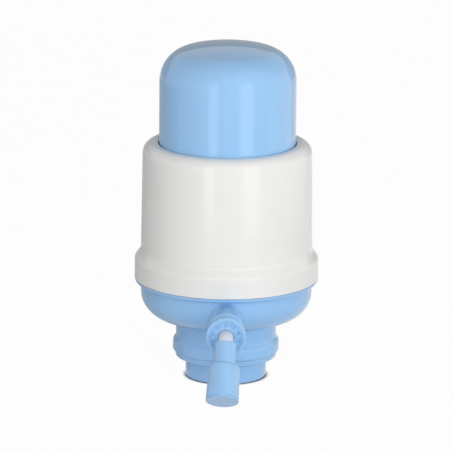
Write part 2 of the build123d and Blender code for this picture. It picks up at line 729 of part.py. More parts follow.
def bellows_zigzag(inset):
    """The folded wall's section points from foot to head, the given distance inwards."""
    points = [(BELLOWS_ROOT_R + BELLOWS_SKIN - inset, BELLOWS_FOOT_Z)]
    for fold in range(BELLOWS_FOLDS):
        start = BELLOWS_FOOT_Z + fold * FOLD_PITCH
        points.append((BELLOWS_CREST_R - inset, start + FOLD_PITCH / 2))
        points.append((BELLOWS_ROOT_R + BELLOWS_SKIN - inset, start + FOLD_PITCH))
    return points


with BuildPart() as bellows:
    with BuildSketch(Plane.XZ):
        Polygon(
            (BELLOWS_ROOT_R, DECK_TOP),
            (BELLOWS_FLANGE_R, DECK_TOP),
            (BELLOWS_FLANGE_R, DECK_TOP + BELLOWS_FLANGE),
            (BELLOWS_ROOT_R + BELLOWS_SKIN, DECK_TOP + BELLOWS_FLANGE),
            *bellows_zigzag(0),
            (BELLOWS_ROOT_R + BELLOWS_SKIN, PLATE_BOTTOM - BELLOWS_FLANGE),
            (BELLOWS_HEAD_R, PLATE_BOTTOM - BELLOWS_FLANGE),
            (BELLOWS_HEAD_R, PLATE_BOTTOM - FIT),
            (BELLOWS_ROOT_R, PLATE_BOTTOM - FIT),
            *reversed(bellows_zigzag(BELLOWS_SKIN)),
            align=None,
        )
    revolve(axis=Axis.Z)
save(bellows, "bellows")

SPRING_FOOT_Z = DECK_TOP + SPRING_WIRE_R + FIT
SPRING_HEIGHT = PLATE_BOTTOM - SPRING_WIRE_R - FIT - SPRING_FOOT_Z

with BuildPart() as return_spring:
    with BuildLine():
        spring_path = Helix(
            pitch=SPRING_HEIGHT / SPRING_TURNS,
            height=SPRING_HEIGHT,
            radius=SPRING_R,
            center=(0, 0, SPRING_FOOT_Z),
        )
    with BuildSketch(Plane(origin=spring_path @ 0, z_dir=spring_path % 0)):
        Circle(SPRING_WIRE_R)
    sweep(is_frenet=True)
save(return_spring, "return_spring")

with BuildPart() as valve_deck:
    with BuildSketch(Plane.XY.offset(DECK_BOTTOM)):
        Circle(DECK_R)
        add(port_holes, mode=Mode.SUBTRACT)
        with PolarLocations(SCREW_PITCH_R, SCREW_COUNT):
            Circle(SCREW_CLEARANCE_R, mode=Mode.SUBTRACT)
    extrude(amount=DECK_TOP - DECK_BOTTOM)
    with BuildSketch(Plane.XY.offset(DECK_TOP)):
        add(seat_ring)
    extrude(amount=SPRING_SEAT_HEIGHT)
save(valve_deck, "valve_deck")

delivery_valve = umbrella_valve(DECK_BOTTOM, DECK_TOP - DECK_BOTTOM)
save(delivery_valve, "delivery_valve")

with BuildPart() as deck_seal:
    with BuildSketch(Plane.XY.offset(LEDGE_Z)):
        Circle(DECK_R)
        Circle(LEDGE_R + GASKET_CLEARANCE, mode=Mode.SUBTRACT)
    extrude(amount=DECK_BOTTOM - LEDGE_Z)
save(deck_seal, "deck_seal")

CLAMP_STEP_R = BELLOWS_FLANGE_R + 0.2
CLAMP_CHAMFER = 0.8

with BuildPart() as bellows_clamp_ring:
    with BuildSketch(Plane.XZ):
        Polygon(
            (CLAMP_BORE_R, DECK_TOP + BELLOWS_FLANGE + FIT),
            (CLAMP_STEP_R, DECK_TOP + BELLOWS_FLANGE + FIT),
            (CLAMP_STEP_R, DECK_TOP),
            (CLAMP_R, DECK_TOP),
            (CLAMP_R, CLAMP_TOP - CLAMP_CHAMFER),
            (CLAMP_R - CLAMP_CHAMFER, CLAMP_TOP),
            (CLAMP_BORE_R, CLAMP_TOP),
            align=None,
        )
    revolve(axis=Axis.Z)
    with BuildSketch(Plane.XY.offset(DECK_TOP)):
        with PolarLocations(SCREW_PITCH_R, SCREW_COUNT):
            Circle(SCREW_CLEARANCE_R)
    extrude(amount=CLAMP_TOP - DECK_TOP, mode=Mode.SUBTRACT)
save(bellows_clamp_ring, "bellows_clamp_ring")

SCREW_CROSS_LENGTH = SCREW_HEAD_R * 1.1
SCREW_CROSS_WIDTH = 0.6
SCREW_CROSS_DEPTH = 1.2

with BuildPart() as clamp_screws:
    with BuildSketch(Plane.XY.offset(CLAMP_TOP)):
        with PolarLocations(SCREW_PITCH_R, SCREW_COUNT):
            Circle(SCREW_HEAD_R)
    extrude(amount=SCREW_HEAD)
    with BuildSketch(Plane.XY.offset(CLAMP_TOP)):
        with PolarLocations(SCREW_PITCH_R, SCREW_COUNT):
            Circle(SCREW_SHANK_R)
    extrude(amount=-SCREW_LENGTH)
    fillet(circles(clamp_screws, SCREW_HEAD_R).group_by(Axis.Z)[-1], radius=SCREW_HEAD_ROUND)
    with BuildSketch(Plane.XY.offset(CLAMP_TOP + SCREW_HEAD)):
        with PolarLocations(SCREW_PITCH_R, SCREW_COUNT):
            Rectangle(SCREW_CROSS_LENGTH, SCREW_CROSS_WIDTH)
            Rectangle(SCREW_CROSS_WIDTH, SCREW_CROSS_LENGTH)
    extrude(amount=-SCREW_CROSS_DEPTH, mode=Mode.SUBTRACT)
save(clamp_screws, "clamp_screws")


# ---------------------------------------------------------------- spout nut and spout
NUT_THREAD_START = STUB_THREAD_START + PORT_THREAD_PITCH / 2

nut_thread = thread_ridge(
    root_r=NUT_BORE_R,
    depth=-PORT_THREAD_DEPTH,
    width=PORT_THREAD_WIDTH,
    pitch=PORT_THREAD_PITCH,
    turns=PORT_THREAD_TURNS,
    start_z=0,
)
nut_thread = port_plane(NUT_THREAD_START).location * nut_thread

with BuildPart() as spout_nut:
    with BuildSketch(PORT_PLANE):
        Polygon(
            (NUT_BORE_R, NUT_BACK),
            (NUT_BACK_R, NUT_BACK),
            (NUT_FRONT_R, NUT_FRONT - NUT_BELL_LIP),
            (NUT_FRONT_R, NUT_FRONT),
            (NUT_DISH_R, NUT_FRONT),
            (NUT_FACE_R, NUT_FACE_FRONT),
            (NUT_NECK_HOLE_R + NUT_NECK_CHAMFER, NUT_FACE_FRONT),
            (NUT_NECK_HOLE_R, NUT_FACE_FRONT - NUT_NECK_CHAMFER),
            (NUT_NECK_HOLE_R, NUT_WEB_BACK),
            (NUT_BORE_R, NUT_WEB_BACK),
            align=None,
        )
    revolve(axis=PORT_AXIS)
    fillet(circles(spout_nut, NUT_FRONT_R), radius=NUT_EDGE_ROUND)
    with BuildSketch(port_plane(NUT_FACE_FRONT - NUT_POCKET_DEPTH)):
        with PolarLocations(NUT_POCKET_PITCH_R, NUT_POCKET_COUNT, start_angle=NUT_POCKET_START):
            Rectangle(NUT_POCKET_LENGTH, NUT_POCKET_WIDTH)
    extrude(amount=NUT_FRONT - NUT_FACE_FRONT + NUT_POCKET_DEPTH, mode=Mode.SUBTRACT)
    add(nut_thread)
save(spout_nut, "spout_nut")

BORE_OVERRUN = 0.5
FLANGE_GAP = 0.15
SWIVEL_BACK = BOSS_SOCKET_BACK + 0.6
BEND_TANGENT = BEND_RADIUS * tan(down / 2)
bend_start = BEND_CENTRE + Vector(0, BEND_TANGENT, 0)
bend_end = BEND_CENTRE + SPOUT_DIRECTION * BEND_TANGENT
elbow_end = BEND_CENTRE + SPOUT_DIRECTION * ELBOW_END


def elbow_path(start_front):
    """The elbow's centre line, from the given distance in front of the pump's axis."""
    with BuildLine() as path:
        straight = Line((0, -start_front, PORT_Z), tuple(bend_start))
        turn = TangentArc(straight @ 1, tuple(bend_end), tangent=straight % 1)
        Line(turn @ 1, tuple(elbow_end))
    return path.line


neck_path = elbow_path(BOSS_STUB_FRONT + BORE_OVERRUN)
bore_path = elbow_path(SWIVEL_BACK - BORE_OVERRUN)

with BuildPart() as spout_elbow:
    with BuildSketch(PORT_PLANE):
        Polygon(
            (0, SWIVEL_BACK),
            (SWIVEL_R, SWIVEL_BACK),
            (SWIVEL_R, O_RING_BACK),
            (O_RING_GROOVE_R, O_RING_BACK),
            (O_RING_GROOVE_R, O_RING_BACK + O_RING_GROOVE),
            (SWIVEL_R, O_RING_BACK + O_RING_GROOVE),
            (SWIVEL_R, BOSS_STUB_FRONT + FLANGE_GAP),
            (ELBOW_FLANGE_R, BOSS_STUB_FRONT + FLANGE_GAP),
            (ELBOW_FLANGE_R, NUT_WEB_BACK - FLANGE_GAP),
            (0, NUT_WEB_BACK - FLANGE_GAP),
            align=None,
        )
    revolve(axis=PORT_AXIS)
    with BuildSketch(Plane(origin=neck_path @ 0, z_dir=PORT_DIRECTION)):
        Circle(ELBOW_R)
    sweep(path=neck_path)
    with BuildSketch(Plane(origin=bore_path @ 0, z_dir=PORT_DIRECTION)):
        Circle(ELBOW_BORE_R)
    sweep(path=bore_path, mode=Mode.SUBTRACT)
save(spout_elbow, "spout_elbow")

with BuildPart() as spout_o_ring:
    with BuildSketch(PORT_PLANE):
        with Locations((O_RING_GROOVE_R + O_RING_SECTION_R + PRESS_GAP / 2, O_RING_BACK + O_RING_GROOVE / 2)):
            Circle(O_RING_SECTION_R)
    revolve(axis=PORT_AXIS)
save(spout_o_ring, "spout_o_ring")

with BuildPart() as outlet_tube:
    with BuildSketch(SPOUT_PLANE):
        Polygon(
            (ELBOW_R + PRESS_GAP, TUBE_START),
            (TUBE_R, TUBE_START),
            (TUBE_R, TUBE_END),
            (TUBE_BORE_R, TUBE_END),
            (TUBE_BORE_R, ELBOW_END + FIT),
            (ELBOW_R + PRESS_GAP, ELBOW_END + FIT),
            align=None,
        )
    revolve(axis=SPOUT_AXIS)
    fillet(circles(outlet_tube, TUBE_R), radius=TUBE_END_ROUND)
save(outlet_tube, "outlet_tube")

with BuildPart() as spout_cap:
    with BuildSketch(SPOUT_PLANE):
        Polygon(
            (DUST_CAP_BORE_R, DUST_CAP_START),
            (DUST_CAP_TOP_R, DUST_CAP_START),
            (DUST_CAP_RIM_R, DUST_CAP_RIM),
            (DUST_CAP_GROOVE_R, DUST_CAP_RIM + DUST_CAP_GROOVE / 2),
            (DUST_CAP_END_R, DUST_CAP_RIM + DUST_CAP_GROOVE),
            (DUST_CAP_END_R, DUST_CAP_END),
            (0, DUST_CAP_END),
            (0, DUST_CAP_END - DUST_CAP_FLOOR),
            (DUST_CAP_BORE_R, DUST_CAP_END - DUST_CAP_FLOOR),
            align=None,
        )
    revolve(axis=SPOUT_AXIS)
    fillet(circles(spout_cap, DUST_CAP_TOP_R), radius=DUST_CAP_TOP_ROUND)
    fillet(circles(spout_cap, DUST_CAP_END_R).sort_by(SPOUT_AXIS)[-1], radius=DUST_CAP_END_ROUND)
    # Pull tab on the side that faces forwards and up
    tab_plane = Plane(
        origin=tuple(BEND_CENTRE + SPOUT_DIRECTION * (DUST_CAP_END - DUST_CAP_TAB_LENGTH)),
        x_dir=tuple(SPOUT_SIDE),
        z_dir=tuple(SPOUT_DIRECTION),
    )
    with BuildSketch(tab_plane):
        with Locations((0, DUST_CAP_END_R)):
            Rectangle(DUST_CAP_TAB_WIDTH, 2 * DUST_CAP_TAB_PROUD)
    extrude(amount=DUST_CAP_TAB_LENGTH - DUST_CAP_TAB_SETBACK)
save(spout_cap, "spout_cap")
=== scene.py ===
# %% [markdown]
# # A hand pump for a water jug
# The pump is a soft blue cap that slides in a white shell, over a round blue bowl
# with a swivelling spout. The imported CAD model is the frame: every piece below is
# made in metres, where the CAD says it sits, and rides on one of its bodies.

# %% Load the frame
import bpy
import json
from math import cos, pi, radians, sin, tan
from mathutils import Matrix, Vector


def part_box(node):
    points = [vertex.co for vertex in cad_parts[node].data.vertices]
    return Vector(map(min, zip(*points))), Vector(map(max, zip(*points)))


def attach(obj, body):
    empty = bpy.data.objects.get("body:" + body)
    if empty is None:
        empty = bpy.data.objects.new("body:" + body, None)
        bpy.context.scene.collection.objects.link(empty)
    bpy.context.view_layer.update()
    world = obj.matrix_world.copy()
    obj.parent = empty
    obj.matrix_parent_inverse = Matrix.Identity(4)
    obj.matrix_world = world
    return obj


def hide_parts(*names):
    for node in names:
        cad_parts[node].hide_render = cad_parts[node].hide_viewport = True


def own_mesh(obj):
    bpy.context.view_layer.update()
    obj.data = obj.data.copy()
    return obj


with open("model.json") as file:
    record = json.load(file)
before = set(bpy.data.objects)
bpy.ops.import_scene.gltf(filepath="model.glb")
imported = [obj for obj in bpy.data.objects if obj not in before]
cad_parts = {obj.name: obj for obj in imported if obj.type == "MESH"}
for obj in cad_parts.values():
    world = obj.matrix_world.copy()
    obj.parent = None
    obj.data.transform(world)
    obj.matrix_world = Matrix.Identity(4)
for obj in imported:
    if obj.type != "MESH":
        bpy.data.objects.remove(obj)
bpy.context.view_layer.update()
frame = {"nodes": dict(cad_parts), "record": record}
NODES = frame["nodes"]
MM = 0.001
print("nodes:", len(NODES))

# %% [markdown]
# ## The camera
# A product picture is taken from far away with a long lens, so that round things
# stay round at the edges of the view. The camera stands three metres off, a little
# above the pump, and its sensor is as wide as the stretch that the view covers.
# It is turned a hair about its own line of sight, as a hand-levelled tripod is.

# %% Camera
VIEW_PIXELS = 452
MM_PER_PIXEL = 0.547
CAMERA_DISTANCE = 3.0
CAMERA_RISE = radians(14.2)
CAMERA_ROLL = radians(0.47)
LOOK_AT = Vector((-0.00047, 0, 0.08395))

forward = Vector((0, cos(CAMERA_RISE), -sin(CAMERA_RISE)))
level_right = Vector((1, 0, 0))
level_up = level_right.cross(forward)
camera_right = level_right * cos(CAMERA_ROLL) + level_up * sin(CAMERA_ROLL)
camera_up = level_up * cos(CAMERA_ROLL) - level_right * sin(CAMERA_ROLL)

camera = bpy.data.objects.new("camera", bpy.data.cameras.new("camera"))
bpy.context.scene.collection.objects.link(camera)
camera.data.sensor_width = 36.0
camera.data.lens = camera.data.sensor_width * CAMERA_DISTANCE / (VIEW_PIXELS * MM_PER_PIXEL * MM)
turn = Matrix((camera_right, camera_up, -forward)).transposed().to_4x4()
camera.matrix_world = Matrix.Translation(LOOK_AT - forward * CAMERA_DISTANCE) @ turn
bpy.context.scene.camera = camera
bpy.context.scene.view_settings.view_transform = "Standard"
print("lens:", round(camera.data.lens, 1), "mm")

# %% [markdown]
# ## Node graphs as Python
# A finish is a graph of nodes, and a graph is hard to read as code. This small class
# wraps one socket, so that a sum on it adds the Math node that the sum needs. Every
# other kind of node comes from the one method, which takes its settings first and
# then the values or links of its sockets. Geometry Nodes use it in the same way.

# %% A socket that can be added and multiplied
class Wire:
    """One output of a node tree; sums on it add Math nodes."""

    def __init__(self, tree, socket=None):
        self.tree = tree
        self.socket = socket

    def node(self, kind, settings=None, inputs=None, output=0):
        """Adds a node, with its settings first and then its sockets' values or links."""
        full_name = kind if kind.startswith(("Geometry", "NodeGroup")) else "ShaderNode" + kind
        made = self.tree.nodes.new(full_name)
        for name, value in (settings or {}).items():
            setattr(made, name, value)
        for name, value in (inputs or {}).items():
            for given in value if isinstance(value, list) else [value]:
                if isinstance(given, Wire):
                    self.tree.links.new(given.socket, made.inputs[name])
                else:
                    made.inputs[name].default_value = given
        return Wire(self.tree, made.outputs[output] if len(made.outputs) else None)

    def math(self, operation, first, second=0.0):
        return self.node("Math", {"operation": operation}, {0: first, 1: second})

    def __add__(self, other):
        return self.math("ADD", self, other)

    def __sub__(self, other):
        return self.math("SUBTRACT", self, other)

    def __rsub__(self, other):
        return self.math("SUBTRACT", other, self)

    def __mul__(self, other):
        return self.math("MULTIPLY", self, other)

    def __pow__(self, other):
        return self.math("POWER", self, other)

    __radd__ = __add__
    __rmul__ = __mul__

    def between(self, low, high):
        """0 up to a low value and 1 from a high one, and a straight ramp between."""
        return self.node("MapRange", None, {0: self, 1: low, 2: high})

    def above(self, edge, softness):
        """0 below an edge and 1 above it, with a soft step between."""
        settings = {"interpolation_type": "SMOOTHSTEP"}
        return self.node("MapRange", settings, {0: self, 1: edge - softness, 2: edge + softness})

    def tint(self, first, second):
        """Mixes two colours by this wire."""
        return self.node("Mix", {"data_type": "RGBA"}, {0: self, 6: first, 7: second}, output=2)


def new_tree(name):
    """An empty material, as a wire to start its graph from."""
    material = bpy.data.materials.new(name)
    material.use_nodes = True
    material.node_tree.nodes.clear()
    return material, Wire(material.node_tree)


def linear(red, green, blue):
    """A colour as a paint chart writes it, 0 to 255, on the straight scale of a shader."""
    return tuple(((c / 255 + 0.055) / 1.055) ** 2.4 for c in (red, green, blue)) + (1,)


print("shader helper ready")

# %% [markdown]
# ## Glossy moulded plastic
# The cap, the bowl and the shell are injection moulded. Such a skin is never quite
# even: the melt leaves a faint cloudiness in the colour, the mould's polish leaves a
# long, very shallow waviness that bends reflections a little, and handling dulls the
# gloss in soft patches. All three are read from Object coordinates, so that the
# pattern stays put on the piece.

# %% Moulded plastic
WAVE_DEPTH = 0.04 * MM
CLOUDY_DULLNESS = 0.03
HANDLED_DULLNESS = 0.03


def moulded_plastic(name, base, cloud, roughness, coat):
    """Polished plastic of one colour that clouds slightly towards another."""
    material, start = new_tree(name)
    space = start.node("TexCoord", output="Object")
    flow = start.node("TexNoise", None, {0: space, "Scale": 22.0, "Detail": 3.0, "Roughness": 0.55})
    handled = start.node("TexNoise", None, {0: space, "Scale": 55.0, "Detail": 2.0})
    wave = start.node("TexNoise", None, {0: space, "Scale": 60.0, "Detail": 1.0})
    bump = start.node("Bump", None, {"Height": wave, "Strength": 0.3, "Distance": WAVE_DEPTH})
    skin = start.node("BsdfPrincipled", None, {
        "Base Color": flow.above(0.5, 0.3).tint(base, cloud),
        "Roughness": roughness + flow * CLOUDY_DULLNESS + handled.above(0.6, 0.1) * HANDLED_DULLNESS,
        "Normal": bump,
        "IOR": 1.49,
        "Coat Weight": coat,
        "Coat Roughness": 0.07,
    })
    start.node("OutputMaterial", None, {"Surface": skin})
    return material


BLUE = moulded_plastic("blue_plastic", linear(144, 191, 234), linear(147, 193, 235), 0.09, 0.25)
WHITE = moulded_plastic("white_plastic", linear(229, 228, 225), linear(231, 230, 228), 0.11, 0.2)
INNER = moulded_plastic("inner_plastic", linear(212, 220, 230), linear(205, 214, 225), 0.36, 0.0)
print("plastics:", BLUE.name, WHITE.name, INNER.name)

# %% [markdown]
# ## Rubber, silicone and steel
# The hidden pieces have finishes of their own: matt rubber for the seals, milky
# silicone for the hose, and bright steel for the spring and the screws. The dust and
# the fine lines are a few hundredths of a millimetre deep, so that they only break up
# the gloss.

# %% Rubber and steel
DUST_DEPTH = 0.05 * MM
LINE_DEPTH = 0.02 * MM
LINES_PER_METRE = (500.0, 500.0, 6000.0)


def moulded_rubber(name, base, cloud, roughness, grain):
    """Matt rubber with a fine dusty grain."""
    material, start = new_tree(name)
    space = start.node("TexCoord", output="Object")
    dust = start.node("TexNoise", None, {0: space, "Scale": grain, "Detail": 4.0})
    blotch = start.node("TexNoise", None, {0: space, "Scale": 60.0, "Detail": 2.0})
    bump = start.node("Bump", None, {"Height": dust, "Strength": 0.5, "Distance": DUST_DEPTH})
    skin = start.node("BsdfPrincipled", None, {
        "Base Color": (blotch * 0.6 + dust * 0.4).tint(base, cloud),
        "Roughness": roughness + dust * 0.15,
        "Normal": bump,
        "IOR": 1.5,
    })
    start.node("OutputMaterial", None, {"Surface": skin})
    return material


def drawn_steel(name, base, cloud):
    """Bright steel with lines that run round it and a little dullness in patches."""
    material, start = new_tree(name)
    space = start.node("TexCoord", output="Object")
    stretched = start.node("Mapping", None, {0: space, "Scale": LINES_PER_METRE})
    lines = start.node("TexNoise", None, {0: stretched, "Scale": 1.0, "Detail": 3.0})
    patches = start.node("TexNoise", None, {0: space, "Scale": 150.0, "Detail": 2.0})
    bump = start.node("Bump", None, {"Height": lines, "Strength": 0.3, "Distance": LINE_DEPTH})
    skin = start.node("BsdfPrincipled", None, {
        "Base Color": patches.tint(base, cloud),
        "Metallic": 1.0,
        "Roughness": 0.2 + patches * 0.2 + lines * 0.08,
        "Normal": bump,
    })
    start.node("OutputMaterial", None, {"Surface": skin})
    return material


SEAL = moulded_rubber("seal_rubber", linear(36, 36, 38), linear(52, 52, 54), 0.55, 1500.0)
BELLOWS = moulded_rubber("bellows_rubber", linear(214, 215, 210), linear(200, 201, 196), 0.5, 1100.0)
HOSE = moulded_rubber("hose_silicone", linear(222, 226, 226), linear(206, 212, 213), 0.32, 700.0)
SPRING = drawn_steel("spring_steel", linear(196, 196, 198), linear(170, 170, 173))
SCREW = drawn_steel("screw_steel", linear(203, 203, 205), linear(178, 179, 184))
print("soft and metal finishes:", SEAL.name, BELLOWS.name, HOSE.name, SPRING.name, SCREW.name)

# %% [markdown]
# ## Finishes on the CAD pieces
# A CAD piece whose shape is right stays as it is and only gets its finish. The record
# says which finish each piece has, so the same words are used here.

# %% Give every CAD piece its finish
FINISHES = {
    "blue_plastic": BLUE,
    "white_plastic": WHITE,
    "inner_plastic": INNER,
    "seal_rubber": SEAL,
    "bellows_rubber": BELLOWS,
    "hose_silicone": HOSE,
    "spring_steel": SPRING,
    "screw_steel": SCREW,
}
for part in frame["record"]["subparts"]:
    mesh = NODES[part["node"]].data
    mesh.materials.clear()
    mesh.materials.append(FINISHES[part["material_slot"]])
    print(part["node"], "->", part["material_slot"])

# %% [markdown]
# ## Rules that grow a piece
# Some pieces are one small rule repeated: the folds of a bellows, the coils of a
# spring, the round corners of a seal. Each is a Geometry Nodes tree with named
# inputs for its sizes. All of them begin and end in the same way, so these two
# functions open and close a rule.

# %% Open and close a rule
def new_rule(name, **inputs):
    """An empty Geometry Nodes tree with named inputs, and a wire for each of them."""
    tree = bpy.data.node_groups.new(name, "GeometryNodeTree")
    tree.is_modifier = True
    sockets = {"Geometry": "Geometry", **inputs, "Material": "Material"}
    for label, kind in sockets.items():
        plain_name = label.replace("_", " ")
        tree.interface.new_socket(plain_name, in_out="INPUT", socket_type="NodeSocket" + kind)
    tree.interface.new_socket("Geometry", in_out="OUTPUT", socket_type="NodeSocketGeometry")
    start = Wire(tree)
    given = {label: start.node("NodeGroupInput", output=place) for place, label in enumerate(sockets)}
    return start, given


def end_rule(start, shape, given):
    """Closes a rule: its shape is made real, shaded smooth and given its material."""
    real = start.node("GeometryNodeRealizeInstances", None, {"Geometry": shape})
    smooth = start.node("GeometryNodeSetShadeSmooth", None, {"Geometry": real})
    finish = {"Geometry": smooth, "Material": given["Material"]}
    dressed = start.node("GeometryNodeSetMaterial", None, finish)
    start.node("NodeGroupOutput", None, {0: dressed})
    return start.tree


print("rules can be written")

# %% [markdown]
# A rule runs as a modifier on a small carrier mesh. Its inputs are set by their
# identifiers before the carrier is first evaluated. What the rule makes is kept as a
# plain mesh, the modifier goes, and the piece then stands for a CAD node, so its size
# is printed beside that node's.

# %% Run a rule once
SHARP_EDGE = radians(42)


def rounded_mm(sizes):
    """Sizes in metres as millimetres with two decimals."""
    return [round(size / MM, 2) for size in sizes]


def grow(name, rule, node, slot, route=(), **values):
    """Runs a rule once, keeps the plain mesh and puts it in the place of a CAD node."""
    seed = bpy.data.meshes.new(name + "_seed")
    seed.from_pydata(route, [(i, i + 1) for i in range(len(route) - 1)], [])
    carrier = bpy.data.objects.new(name, seed)
    bpy.context.scene.collection.objects.link(carrier)
    modifier = carrier.modifiers.new("rule", "NODES")
    modifier.node_group = rule
    values["Material"] = FINISHES[slot]
    for item in rule.interface.items_tree:
        label = item.name.replace(" ", "_")
        if item.in_out == "INPUT" and label in values:
            modifier[item.identifier] = values[label]
    depsgraph = bpy.context.evaluated_depsgraph_get()
    grown = bpy.data.meshes.new_from_object(carrier.evaluated_get(depsgraph), depsgraph=depsgraph)
    carrier.modifiers.clear()
    carrier.data = grown
    grown.set_sharp_from_angle(angle=SHARP_EDGE)
    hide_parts(node)
    low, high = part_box(node)
    cad_size = rounded_mm(h - l for l, h in zip(low, high))
    print(name, rounded_mm(carrier.dimensions), "CAD:", cad_size, len(grown.polygons), "faces")
    return carrier


print("rules can be run")

# %% [markdown]
# ## Sweeping a closed section round a circle
# A circle's own frame points outwards and down, so a section drawn in it has its X
# along the radius and its Y against the pump's axis. With that known, every round
# piece here is a section of two numbers per point.

# %% Sweep round the pump's axis
RAIL_STEPS = 128
CORNER_POINTS = 5


def sweep_round(start, section, radius):
    """A closed section carried round the pump's axis, its own X added to the radius."""
    circle = {"Resolution": RAIL_STEPS, "Radius": radius}
    rail = start.node("GeometryNodeCurvePrimitiveCircle", None, circle)
    upright = start.node("GeometryNodeSetCurveNormal", {"mode": "Z_UP"}, {"Curve": rail})
    return start.node("GeometryNodeCurveToMesh", None, {"Curve": upright, "Profile Curve": section})


def rounded_bar(start, width, height, corner, x, z):
    """A rectangular section with round corners, its middle at a radius and a height."""
    sides = {"Width": width, "Height": height}
    bar = start.node("GeometryNodeCurvePrimitiveQuadrilateral", None, sides)
    rounding = {"Curve": bar, "Count": CORNER_POINTS, "Radius": corner}
    soft = start.node("GeometryNodeFilletCurve", {"mode": "POLY"}, rounding)
    place = start.node("CombineXYZ", None, {"X": x, "Y": 0.0 - z})
    return start.node("GeometryNodeSetPosition", None, {"Geometry": soft, "Offset": place})


print("sweeps ready:", RAIL_STEPS, "steps")

# %% [markdown]
# ## Seals
# A rubber seal is cut or moulded with soft corners, which is what tells it from the
# hard plastic that it lies between. One rule makes all the flat ones: a rounded bar
# swept round the axis. Each takes its outside and its height from the CAD node that
# it stands for, and the table adds the body it rides on and the radius of its bore.

# %% The flat seals
CORNER_SHARE = 0.3
seal_start, seal = new_rule(
    "flat_seal", Radius="Float", Height="Float", Width="Float", Thick="Float", Corner="Float",
)
flat = rounded_bar(seal_start, seal["Width"], seal["Thick"], seal["Corner"], 0.0, seal["Height"])
SEAL_RULE = end_rule(seal_start, sweep_round(seal_start, flat, seal["Radius"]), seal)

SEALS = {
    "neck_gasket": ("pump_body", 20.4 * MM),
    "bottle_gasket": ("bottle_seal", 15.2 * MM),
    "deck_seal": ("pump_body", 42.6 * MM),
    "spigot_washer": ("pump_body", 6.05 * MM),
}
for node, (body, bore) in SEALS.items():
    low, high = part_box(node)
    width, thick = high[0] - bore, high[2] - low[2]
    ring = grow(
        node + "_rubber", SEAL_RULE, node, "seal_rubber",
        Radius=bore + width / 2, Height=(low[2] + high[2]) / 2,
        Width=width, Thick=thick, Corner=thick * CORNER_SHARE,
    )
    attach(ring, body)

# %% [markdown]
# ## Bellows
# The bellows is the pump's lung: a soft tube with nine folds, moulded in one piece
# with a flange at each end. A fold is the same wave again and again, so the section
# is a loop of points whose radius follows that wave up the outside and, one skin
# thinner, down the inside. The crests are a little sharper than the roots, because
# the rubber is thinner there.

# %% Bellows rule
FOLDS = 9
CREST_SHARPNESS = 1.25
LOOP_POINTS = 360
FLANGE_CORNER = 0.4 * MM
bellows_start, lung = new_rule(
    "bellows", Root="Float", Crest="Float", Skin="Float", Foot="Float", Head="Float",
    Foot_Flange="Float", Head_Flange="Float", Flange="Float",
)
bore = lung["Root"]
loop = bellows_start.node("GeometryNodeCurvePrimitiveCircle", None, {
    "Resolution": LOOP_POINTS,
    "Radius": 1.0,
})
place = bellows_start.node("GeometryNodeInputIndex") * (1 / LOOP_POINTS)
rising = place.between(0.0, 0.5) - place.between(0.5, 1.0)
inside = bellows_start.math("GREATER_THAN", place, 0.5)
fold = bellows_start.math("COSINE", rising * (2 * pi * FOLDS)) * -0.5 + 0.5
reach = lung["Skin"] + (lung["Crest"] - bore - lung["Skin"]) * fold ** CREST_SHARPNESS
wall_low, wall_high = lung["Foot"] + lung["Flange"] * 0.5, lung["Head"] - lung["Flange"] * 0.5
section = bellows_start.node("GeometryNodeSetPosition", None, {
    "Geometry": loop,
    "Position": bellows_start.node("CombineXYZ", None, {
        "X": reach - inside * lung["Skin"],
        "Y": 0.0 - (wall_low + (wall_high - wall_low) * rising),
    }),
})
sweeps = [sweep_round(bellows_start, section, bore)]
for outer, middle in ((lung["Foot_Flange"], wall_low), (lung["Head_Flange"], wall_high)):
    width = outer - bore
    bar = rounded_bar(bellows_start, width, lung["Flange"], FLANGE_CORNER, width * 0.5, middle)
    sweeps.append(sweep_round(bellows_start, bar, bore))
folded_tube = bellows_start.node("GeometryNodeJoinGeometry", None, {"Geometry": sweeps})
BELLOWS_RULE = end_rule(bellows_start, folded_tube, lung)
print("bellows rule:", FOLDS, "folds")

# %% [markdown]
# The rule is run with the sizes of this bellows. Its lower flange is as wide as the
# CAD node, and the upper one fits inside the cap's plate.

# %% Make the bellows
ROOT_RADIUS = 26.6 * MM
CREST_RADIUS = 33.6 * MM
SKIN = 1.2 * MM
FLANGE = 2 * MM
HEAD_FLANGE_RADIUS = 31.15 * MM

low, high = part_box("bellows")
bellows = grow(
    "bellows_tube", BELLOWS_RULE, "bellows", "bellows_rubber",
    Root=ROOT_RADIUS, Crest=CREST_RADIUS, Skin=SKIN, Foot=low[2], Head=high[2],
    Foot_Flange=high[0], Head_Flange=HEAD_FLANGE_RADIUS, Flange=FLANGE,
)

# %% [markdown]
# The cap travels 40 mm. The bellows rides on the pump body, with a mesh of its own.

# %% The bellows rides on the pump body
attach(bellows, "pump_body")
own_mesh(bellows)

# %% [markdown]
# ## Return spring
# The spring that lifts the cap is wound from round wire. Its end coils are closed,
# so that it stands square in its seats: the wire climbs by its own thickness in the
# first and the last turn, and evenly in the turns between.

